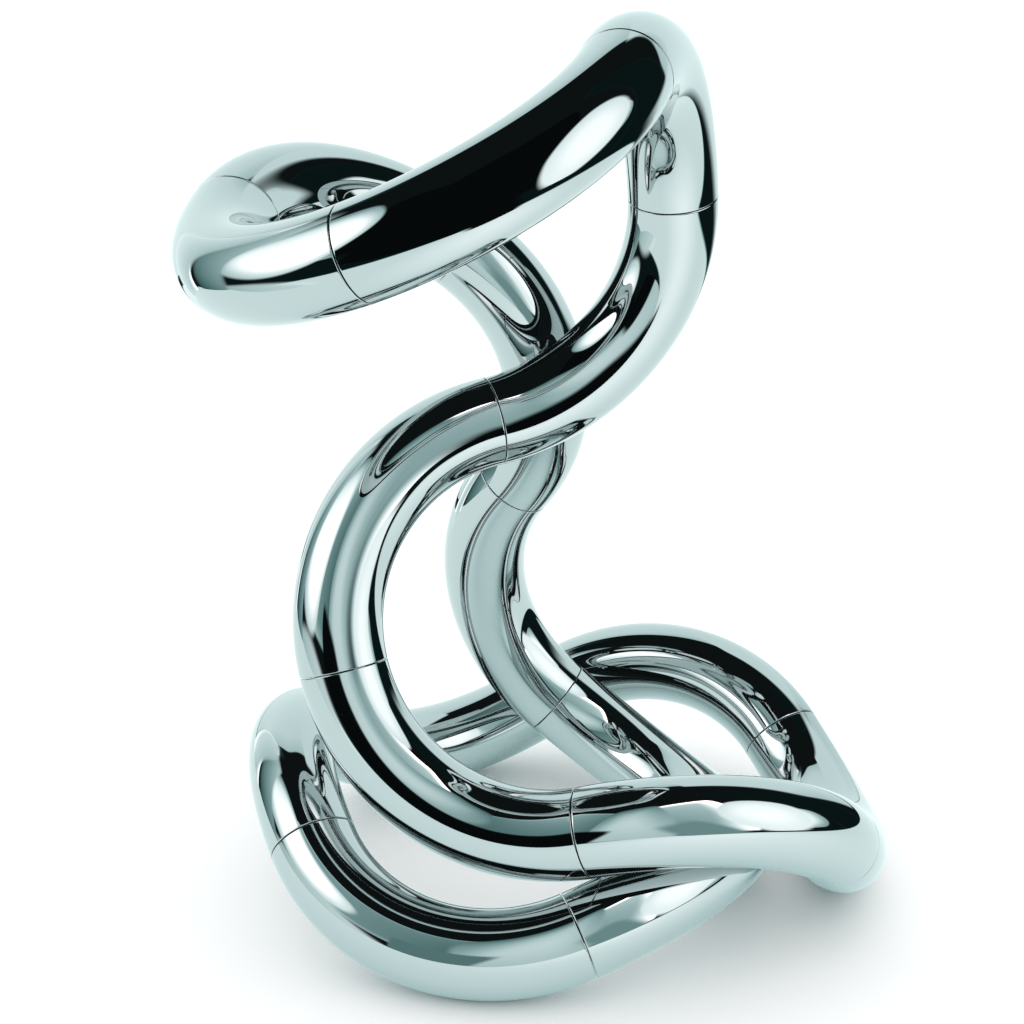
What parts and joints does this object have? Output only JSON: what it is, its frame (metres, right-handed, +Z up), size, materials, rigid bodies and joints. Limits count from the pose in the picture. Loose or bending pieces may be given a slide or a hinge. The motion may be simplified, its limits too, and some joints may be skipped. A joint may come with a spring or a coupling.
{
  "type": "abstract metal sculpture",
  "caption": "Free-standing abstract sculpture: one closed loop of mirror-bright quarter-turn tube bends that climbs from a low base, crosses over itself and comes down again.",
  "frame": {"origin": "middle of the footprint, on the surface the sculpture stands on", "axes": "+Z up; -Y is the side towards the viewer of the picture, and +X is that viewer's right"},
  "size_m": [0.1424, 0.1524, 0.1896],
  "materials": {
    "bright_chrome": "mirror-polished plating with a faint cool tone"
  },
  "bodies": {
    "base": {"bend_01": "bright_chrome", "bend_02": "bright_chrome", "bend_03": "bright_chrome", "bend_04": "bright_chrome", "bend_05": "bright_chrome"},
    "bend_06": {"bend_06": "bright_chrome"},
    "bend_07": {"bend_07": "bright_chrome"},
    "bend_08": {"bend_08": "bright_chrome"},
    "bend_09": {"bend_09": "bright_chrome"},
    "bend_10": {"bend_10": "bright_chrome"},
    "bend_11": {"bend_11": "bright_chrome"},
    "bend_12": {"bend_12": "bright_chrome"},
    "bend_13": {"bend_13": "bright_chrome"},
    "bend_14": {"bend_14": "bright_chrome"},
    "bend_15": {"bend_15": "bright_chrome"},
    "bend_16": {"bend_16": "bright_chrome"},
    "bend_17": {"bend_17": "bright_chrome"}
  },
  "joints": [
    {"name": "swivel_05_06", "type": "hinge", "parent": "base", "child": "bend_06", "pos_m": [0.00435, -0.04206, 0.01263], "axis": [0.9179, 0.2204, 0.3301], "range_deg": [-1, 13]},
    {"name": "swivel_06_07", "type": "hinge", "parent": "bend_06", "child": "bend_07", "pos_m": [0.03766, 0.0054, 0.01252], "axis": [-0.1052, 0.9371, -0.3329], "range_deg": [-3, 1]},
    {"name": "swivel_07_08", "type": "hinge", "parent": "bend_07", "child": "bend_08", "pos_m": [0.00177, 0.04935, 0.02443], "axis": [-0.7702, 0.1349, 0.6234], "range_deg": [-5, 1]},
    {"name": "swivel_08_09", "type": "hinge", "parent": "bend_08", "child": "bend_09", "pos_m": [-0.00787, 0.03867, 0.0806], "axis": [0.535, -0.3954, 0.7466], "range_deg": [-1, 7]},
    {"name": "swivel_09_10", "type": "hinge", "parent": "bend_09", "child": "bend_10", "pos_m": [-0.01899, 0.02351, 0.13545], "axis": [-0.8061, 0.0257, 0.5912], "range_deg": [-10, 1]},
    {"name": "swivel_10_11", "type": "hinge", "parent": "bend_10", "child": "bend_11", "pos_m": [-0.06115, -0.01393, 0.14894], "axis": [-0.2223, -0.9391, -0.2622], "range_deg": [-1, 14]},
    {"name": "swivel_17_01", "type": "hinge", "parent": "base", "child": "bend_17", "pos_m": [0.05775, -0.01616, 0.01965], "axis": [0.3319, 0.7241, -0.6046], "range_deg": [-1, 4]},
    {"name": "swivel_16_17", "type": "hinge", "parent": "bend_17", "child": "bend_16", "pos_m": [0.00563, -0.03785, 0.03288], "axis": [0.9394, -0.1951, 0.2821], "range_deg": [0, 30]},
    {"name": "swivel_15_16", "type": "hinge", "parent": "bend_16", "child": "bend_15", "pos_m": [-0.0421, -0.01876, 0.05969], "axis": [0.2249, -0.2705, -0.9361], "range_deg": [-11, 1]},
    {"name": "swivel_14_15", "type": "hinge", "parent": "bend_15", "child": "bend_14", "pos_m": [-0.01273, 0.00494, 0.1037], "axis": [-0.9415, -0.3078, -0.1373], "range_deg": [-1, 4]},
    {"name": "swivel_13_14", "type": "hinge", "parent": "bend_14", "child": "bend_13", "pos_m": [0.02306, 0.00839, 0.14919], "axis": [0.0686, 0.2238, -0.9722], "range_deg": [-1, 16]},
    {"name": "swivel_12_13", "type": "hinge", "parent": "bend_13", "child": "bend_12", "pos_m": [0.01056, -0.03946, 0.17947], "axis": [0.2364, 0.9431, 0.2338], "range_deg": [-17, 1]}
  ],
  "couplings": [
    {"joint": "swivel_05_06", "follows": "swivel_16_17", "ratio": 0.3975},
    {"joint": "swivel_06_07", "follows": "swivel_16_17", "ratio": -0.0513},
    {"joint": "swivel_07_08", "follows": "swivel_16_17", "ratio": -0.1172},
    {"joint": "swivel_08_09", "follows": "swivel_16_17", "ratio": 0.1706},
    {"joint": "swivel_09_10", "follows": "swivel_16_17", "ratio": -0.2815},
    {"joint": "swivel_10_11", "follows": "swivel_16_17", "ratio": 0.4215},
    {"joint": "swivel_17_01", "follows": "swivel_16_17", "ratio": 0.0864},
    {"joint": "swivel_15_16", "follows": "swivel_16_17", "ratio": -0.3133},
    {"joint": "swivel_14_15", "follows": "swivel_16_17", "ratio": 0.0826},
    {"joint": "swivel_13_14", "follows": "swivel_16_17", "ratio": 0.4727},
    {"joint": "swivel_12_13", "follows": "swivel_16_17", "ratio": -0.5012}
  ]
}
